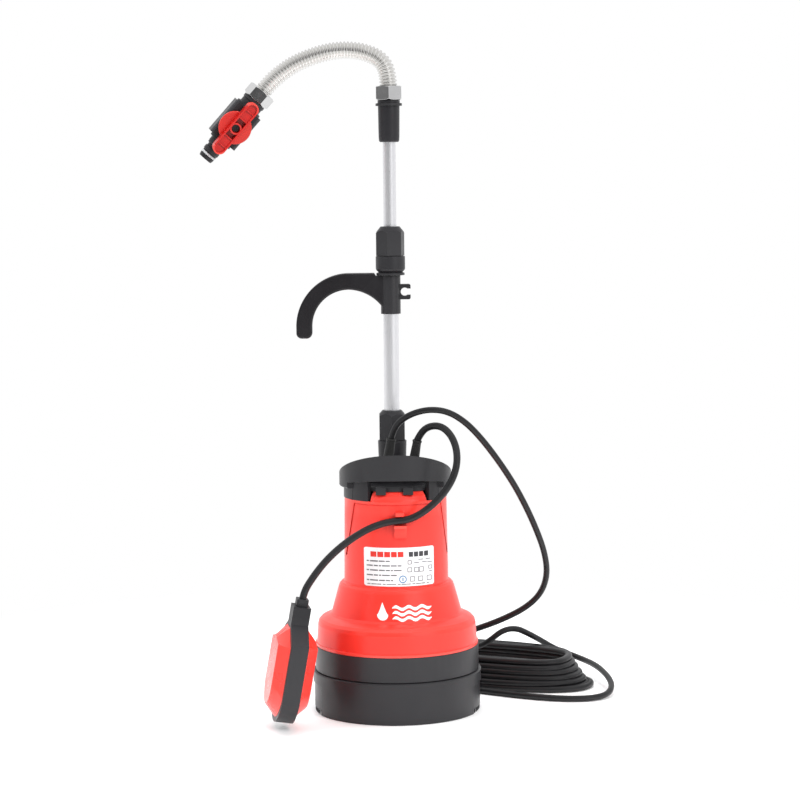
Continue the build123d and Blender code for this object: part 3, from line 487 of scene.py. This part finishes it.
FLOAT_ROUTE = [
    (0.0234, -0.0115, 0.2855), (0.0280, -0.0145, 0.2950), (0.0370, -0.0215, 0.3015),
    (0.0485, -0.0315, 0.3020), (0.0580, -0.0420, 0.2940), (0.0635, -0.0515, 0.2805),
    (0.0635, -0.0590, 0.2645), (0.0580, -0.0635, 0.2490), (0.0485, -0.0645, 0.2350),
    (0.0365, -0.0635, 0.2230), (0.0225, -0.0612, 0.2128), (0.0095, -0.0594, 0.2079),
    (-0.0060, -0.0590, 0.2069), (-0.0220, -0.0615, 0.2030), (-0.0400, -0.0665, 0.1945),
    (-0.0580, -0.0730, 0.1825), (-0.0735, -0.0795, 0.1685), (-0.0860, -0.0850, 0.1530),
    (-0.0942, -0.0900, 0.1403), (-0.0959, -0.0900, 0.1310),
]
MAINS_ROUTE = [
    (-0.0038, -0.0125, 0.2875), (-0.0010, -0.0152, 0.2985), (0.0075, -0.0205, 0.3085),
    (0.0210, -0.0260, 0.3160), (0.0380, -0.0290, 0.3195), (0.0560, -0.0270, 0.3165),
    (0.0740, -0.0200, 0.3045), (0.0910, -0.0100, 0.2855), (0.1080, 0.0010, 0.2620),
    (0.1245, 0.0140, 0.2360), (0.1380, 0.0260, 0.2100), (0.1495, 0.0380, 0.1840),
    (0.1595, 0.0510, 0.1565), (0.1635, 0.0635, 0.1300), (0.1575, 0.0750, 0.1070),
    (0.1415, 0.0850, 0.0895), (0.1175, 0.0940, 0.0755), (0.0900, 0.1025, 0.0635),
    (0.0620, 0.1110, 0.0540), (0.0360, 0.1200, 0.0480), (0.0150, 0.1335, 0.0465),
    (0.0025, 0.1550, 0.0460), (0.0055, 0.1805, 0.0465), (0.0250, 0.1970, 0.0470),
    (0.0495, 0.1935, 0.0460), (0.0670, 0.1755, 0.0425), (0.0790, 0.1570, 0.0360),
    (0.0910, 0.1425, 0.0345), (0.1030, 0.1340, 0.0430), (0.1170, 0.1325, 0.0550),
    (0.1330, 0.1390, 0.0565), (0.1490, 0.1515, 0.0465), (0.1630, 0.1640, 0.0365),
    (0.1780, 0.1710, 0.0260), (0.1960, 0.1660, 0.0200), (0.2100, 0.1500, 0.0170),
    (0.2190, 0.1280, 0.0165), (0.2255, 0.1040, 0.0150), (0.2310, 0.0790, 0.0120),
    (0.2325, 0.0540, 0.0080), (0.2260, 0.0310, 0.0045), (0.2100, 0.0165, 0.0035),
    (0.1840, 0.0135, 0.0034), (0.1560, 0.0215, 0.0035), (0.1280, 0.0355, 0.0034),
    (0.1010, 0.0520, 0.0035), (0.0750, 0.0690, 0.0034), (0.0470, 0.0840, 0.0035),
    (0.0190, 0.0935, 0.0034), (-0.0050, 0.1040, 0.0035), (-0.0205, 0.1210, 0.0034),
    (-0.0215, 0.1420, 0.0035), (-0.0125, 0.1580, 0.0036),
]

COIL_CENTRE = Vector((0.098, 0.1295, 0))
COIL_TURN = math.radians(-24.2)
COIL_HALF = (115.0, 51.5)           # outer turn's centreline, mm
COIL_SQUARE = 2.4                   # 2 is an ellipse, more is squarer
COIL_START = math.radians(168)
COIL_TURNS = 17.85
COIL_STEPS = 20                     # points for each turn
COIL_ACROSS = 3                     # turns beside each other in a layer
COIL_BED = 3.5                      # centreline of the lowest turn, mm
COIL_TOP = 33.0                     # the most that a turn rises, mm
COIL_CHANGE = 0.86                  # share of a turn after which it moves over to the next one's place
# front and back, mm: from turn to turn in a layer, from layer to layer, and each layer's shift inward
TURN_PITCH, LAYER_PITCH, LAYER_LEAN = (6.0, 5.8), (5.2, 5.7), (3.2, 0.8)
PLUG_RUN = [(0.0140, 0.1500, 0.0285), (0.0030, 0.1620, 0.0225), (-0.0055, 0.1720, 0.0192),
            (-0.0108, 0.1782, 0.0186)]


def nested(wound):
    """One turn's millimetres: inward and up at the front, inward and up at the back, reach to the right."""
    layer, place = divmod(wound, COIL_ACROSS)
    if layer % 2:
        place = COIL_ACROSS - 1 - place
    askew = 1.1 * math.sin(2.3 * wound + 0.6)
    reach = (8.0, 2.5)[wound] if wound < 2 else -1.35 * (wound - 2) + 1.5 * math.sin(1.9 * wound)
    low_in = TURN_PITCH[0] * place + LAYER_LEAN[0] * layer + askew
    low_up = LAYER_PITCH[0] * layer + 0.4 * (1 + math.sin(4.1 * wound))
    high_in = TURN_PITCH[1] * place + LAYER_LEAN[1] * layer - askew
    high_up = LAYER_PITCH[1] * layer
    return low_in, low_up, high_in, high_up, reach


def coil_points():
    """Clockwise oval turns: piled high at the back, sloping low at the front, nested at the right."""
    long_way = Vector((math.cos(COIL_TURN), math.sin(COIL_TURN), 0))
    wide_way = Vector((-math.sin(COIL_TURN), math.cos(COIL_TURN), 0))
    points = []
    for step in range(round(COIL_TURNS * COIL_STEPS)):
        turn = step / COIL_STEPS
        angle = COIL_START - 2 * math.pi * turn
        wound, share = divmod(turn + (math.pi - COIL_START) / (2 * math.pi), 1)
        change = max(0.0, (share - COIL_CHANGE) / (1 - COIL_CHANGE))
        change = change * change * (3 - 2 * change)
        this_turn, next_turn = nested(int(wound)), nested(int(wound) + 1)
        low_in, low_up, high_in, high_up, reach = (
            here + (there - here) * change for here, there in zip(this_turn, next_turn))
        c, s = math.cos(angle), math.sin(angle)
        back = 0.5 + 0.5 * s
        half_long = COIL_HALF[0] + (reach * c if c > 0 else low_in * c)
        half_wide = COIL_HALF[1] - (high_in if s > 0 else low_in) * abs(s)
        power = 2 / COIL_SQUARE
        x = half_long * math.copysign(abs(c) ** power, c)
        y = half_wide * math.copysign(abs(s) ** power, s) + 0.7 * math.sin(1.9 * turn)
        z = min(COIL_BED + high_up * back + low_up * (1 - back), COIL_TOP)
        points.append(COIL_CENTRE + (long_way * x + wide_way * y + Vector((0, 0, z))) * MM)
    return points


PLUG_BACK = Vector((-0.0108, 0.1782, 0.0186))
PLUG_AIM = Vector((-0.75, 0.66, 0.0)).normalized()
# millimetres from the cord's end, and radius there
PLUG_OUTLINE = [(0.2, 4.0), (1.0, 4.6), (5, 4.8), (22, 6.2), (24, 8.6), (26, 13.0), (29, 15.2), (34, 17.6),
                (37, 18.1), (54, 18.4), (56.6, 17.9), (57.9, 16.8)]
PLUG_FACE = 57.0
PLUG_STEP, PLUG_RINGS = 0.34, 171
RELIEF_PITCH, FLUTES = 3.4, 14
PIN_OFFSET, PIN_LENGTH, PIN_R = 9.5, 19.2, 2.35


def make_plug():
    """Moulded plug: grooved strain relief, fluted grip and a flat face, with two bright pins."""
    def radius_at(along, angle):
        place = along / MM
        for (low, near), (high, far) in zip(PLUG_OUTLINE, PLUG_OUTLINE[1:]):
            if place <= high:
                break
        radius = near + (far - near) * min(max((place - low) / (high - low), 0.0), 1.0)
        if 4 < place < 21:
            radius -= 0.9 * max(0.0, math.sin(2 * math.pi * place / RELIEF_PITCH)) ** 0.5
        if 36 < place < 54:
            radius -= 0.7 * max(0.0, math.cos(FLUTES * angle)) ** 2
        return radius * MM

    path = [PLUG_BACK + PLUG_AIM * (PLUG_STEP * MM * step) for step in range(PLUG_RINGS)]
    body = new_piece("plug_body", *swept(path, radius_at, 84), "pump", "plug_rubber")
    face = PLUG_BACK + PLUG_AIM * PLUG_FACE * MM
    pins = []
    for hand, name in ((-1, "plug_pin_low"), (1, "plug_pin_high")):
        start = face + Vector((0, 0, hand * PIN_OFFSET * MM))
        path = [start + PLUG_AIM * (0.5 * MM * step) for step in range(round(2 * PIN_LENGTH) + 1)]

        def pin_radius(along, angle):
            left = PIN_LENGTH - along / MM
            return (PIN_R - max(0.0, 1.6 - left) ** 2 * 0.4) * MM

        pins.append(new_piece(name, *swept(path, pin_radius, 24), "pump", "chrome_nut"))
    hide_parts("mains_plug")
    return [body, *pins]


def make_mains_lead():
    lead = spline_curve("mains_lead", MAINS_ROUTE + coil_points() + PLUG_RUN, MAINS_CORD / 2)
    lead.data.materials.append(finishes["mains_cord_rubber"])
    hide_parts("mains_cord", "mains_coil")
    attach(lead, "pump")
    make_plug()


def make_float_cable():
    """One cable from the lid, past the clip on the barrel, to the float."""
    path = spline_path(FLOAT_ROUTE, 2.0 * MM)
    points, faces = swept(path, lambda along, angle: FLOAT_CORD / 2, 20)
    cable = new_piece("float_cable", points, faces, None, "float_cord_rubber")
    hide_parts("float_cord_fixed", "float_cord_swing")
    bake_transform(cable)


make_mains_lead()
make_float_cable()


# ---- corrugated hose ------------------------------------------------------------------------
HOSE_R = 9.25 * MM
HOSE_PITCH = 3.5 * MM
HOSE_GROOVE = 2.1 * MM
HOSE_ROUTE = [
    (-0.0028, 0.017, 0.6494), (-0.0031, 0.017, 0.6640), (-0.0086, 0.017, 0.6790), (-0.0235, 0.017, 0.6876),
    (-0.0420, 0.017, 0.6909), (-0.0620, 0.017, 0.6900), (-0.0820, 0.017, 0.6847), (-0.1015, 0.017, 0.6766),
    (-0.1190, 0.017, 0.6644), (-0.1283, 0.017, 0.6551), (-0.1353, 0.017, 0.6471),
]


def make_hose():
    """Bellows tube: rounded crests with narrow grooves between them."""
    def radius_at(along, angle):
        return HOSE_R - HOSE_GROOVE * (1 - abs(math.sin(math.pi * along / HOSE_PITCH)) ** 0.85)

    path = spline_path(HOSE_ROUTE, HOSE_PITCH / 10)
    hose = new_piece("corrugated_hose", *swept(path, radius_at, 40), "hose", "hose_steel")
    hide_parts("flex_hose")


make_hose()


# ---- prints on the barrel and the cone ------------------------------------------------------
FRONT_TURN = math.radians(4.0)
LABEL_LIFT = 0.3 * MM
PRINT = 0.12 * MM                   # thickness of the ink
ROUND_END = 0.985                   # share of a rounded shape's half width that is drawn
# rows of dashes on the label: height, most dashes and right edge, mm
DASH_ROWS = ((164.8, 4, 3.5), (160.1, 7, 3.5), (155.3, 7, 3.5), (150.2, 5, 3.5), (144.9, 7, -0.5))
# empty squares on the label: place and size, mm
SQUARES = ((10.2, 163.4, 3.6), (10.2, 155.6, 4.2), (17.4, 155.6, 4.6), (22.6, 155.6, 4.6),
           (32.2, 157.0, 3.4), (13.0, 146.0, 4.6), (21.6, 146.0, 4.6), (31.0, 146.0, 4.6))


def barrel_radius(z):
    """Outer radius of the housing's barrel at height z."""
    return (54.8 - 1.3 * (z / MM - 137.0) / 89.0) * MM


def cone_radius(z):
    """Outer radius of the housing's cone at height z."""
    return (68.4 - 7.6 * (z / MM - 104.0) / 27.0) * MM


def wrapped(u, z, radius):
    """The point at u sideways and z up on a turned face, seen square from the front."""
    angle = math.asin(u / radius) - math.pi / 2 + FRONT_TURN
    return Vector((radius * math.cos(angle), radius * math.sin(angle), z))


class Print:
    """Thin closed slabs of one ink, each a strip of columns from left to right."""

    def __init__(self, radius_at, lift):
        self.radius_at, self.lift = radius_at, lift
        self.points, self.faces = [], []

    def strip(self, columns):
        """columns are (u, lower z, upper z) in millimetres."""
        start = len(self.points)
        for u, low, high in columns:
            for z, out in ((low, -0.5), (low, 1.0), (high, 1.0), (high, -0.5)):
                radius = self.radius_at(z * MM) + self.lift + out * PRINT
                self.points.append(wrapped(u * MM, z * MM, radius))
        for column in range(len(columns) - 1):
            at = start + 4 * column
            for side in range(4):
                following = (side + 1) % 4
                self.faces.append((at + side, at + 4 + side, at + 4 + following, at + following))
        last = start + 4 * (len(columns) - 1)
        self.faces.append((start, start + 1, start + 2, start + 3))
        self.faces.append((last + 3, last + 2, last + 1, last))

    def bar(self, u, z, width, height):
        """A block with its middle at u, z."""
        columns = max(2, math.ceil(width / 2.5) + 1)
        self.strip([(u + width * (step / (columns - 1) - 0.5), z - height / 2, z + height / 2)
                    for step in range(columns)])

    def blob(self, u, z, half_width, lower, upper, steps=16):
        """A closed rounded shape between two half-height formulas of the share across, -1 to 1."""
        shares = [-math.cos(math.pi * step / steps) * ROUND_END for step in range(steps + 1)]
        self.strip([(u + half_width * share, z - lower(share), z + upper(share)) for share in shares])

    def ring(self, u, z, outer, width, steps=24):
        """An open ring made of two half rings."""
        for hand in (-1, 1):
            columns = []
            for step in range(steps + 1):
                share = -math.cos(math.pi * step / steps) * ROUND_END
                far = outer * math.sqrt(1 - share**2)
                inside = (outer - width) ** 2 - (outer * share) ** 2
                near = math.sqrt(inside) if inside > 0 else 0.0
                edges = (near, far) if hand > 0 else (-far, -near)
                columns.append((u + outer * share, z + edges[0], z + edges[1] + 0.02))
            self.strip(columns)

    def made(self, name, ink, slot):
        """The strips so far as one piece."""
        piece = new_piece(name, self.points, self.faces, "pump", slot, False)
        piece.data.materials.clear()
        piece.data.materials.append(inks[ink])


def make_label_print():
    """Plain blocks and dashes, with nothing to read in them."""
    red, dark, grey, blue = (Print(barrel_radius, LABEL_LIFT) for _ in range(4))
    for block in range(5):
        red.bar(-26.8 + 6.9 * block, 171.9, 5.9, 5.6)
    for block in range(4):
        dark.bar(11.6 + 5.4 * block, 171.7, 4.4, 5.2)
    for row, (z, dashes, right_edge) in enumerate(DASH_ROWS):
        u = -33.6
        for dash in range(dashes):
            width = 2.2 + 1.9 * ((3 * dash + 2 * row) % 4)
            if u + width > right_edge:
                break
            grey.bar(u + width / 2, z, width, 1.35)
            u += width + 1.0
    for dash in range(13):
        width = 3.0 + 1.2 * (dash * 2 % 3)
        grey.bar(-31.6 + 5.1 * dash, 140.9, width, 0.9)
    for u, z in ((22.0, 165.9), (29.8, 165.9), (17.6, 162.9), (26.0, 163.2), (31.6, 162.4)):
        grey.bar(u, z, 5.2, 0.9)
    for u, z, size in SQUARES:
        for edge in (-1, 1):
            grey.bar(u + edge * size / 2, z, 0.75, size)
            grey.bar(u, z + edge * size / 2, size, 0.75)
    grey.bar(32.2, 152.6, 3.6, 0.9)
    blue.ring(3.0, 146.0, 4.0, 1.1)
    blue.bar(3.0, 146.0, 1.2, 3.6)
    for printed, name, ink in ((red, "label_red_blocks", "ink_red"), (dark, "label_dark_blocks", "ink_dark"),
                               (grey, "label_dashes", "ink_grey"), (blue, "label_ring", "ink_blue")):
        printed.made(name, ink, "label_film")


def make_cone_mark():
    """White drop with three waves beside it."""
    mark = Print(cone_radius, 0.0)
    mark.blob(-19.0, 111.0, 5.6, lambda share: 5.6 * math.sqrt(1 - share**2),
              lambda share: 9.4 * (1 - abs(share)) ** 1.4 + 3.2 * math.sqrt(1 - share**2) * (1 - abs(share)))
    for row in range(3):
        z = 107.0 + 5.4 * row
        columns = []
        for step in range(49):
            share = step / 48
            middle = z + 1.35 * math.sin(2 * math.pi * 3 * share)
            half = 1.55 * min(1.0, 0.25 + 9 * min(share, 1 - share))
            columns.append((-9.0 + 41.0 * share, middle - half, middle + half))
        mark.strip(columns)
    mark.made("cone_mark", "ink_white", "red_plastic")


make_label_print()
make_cone_mark()
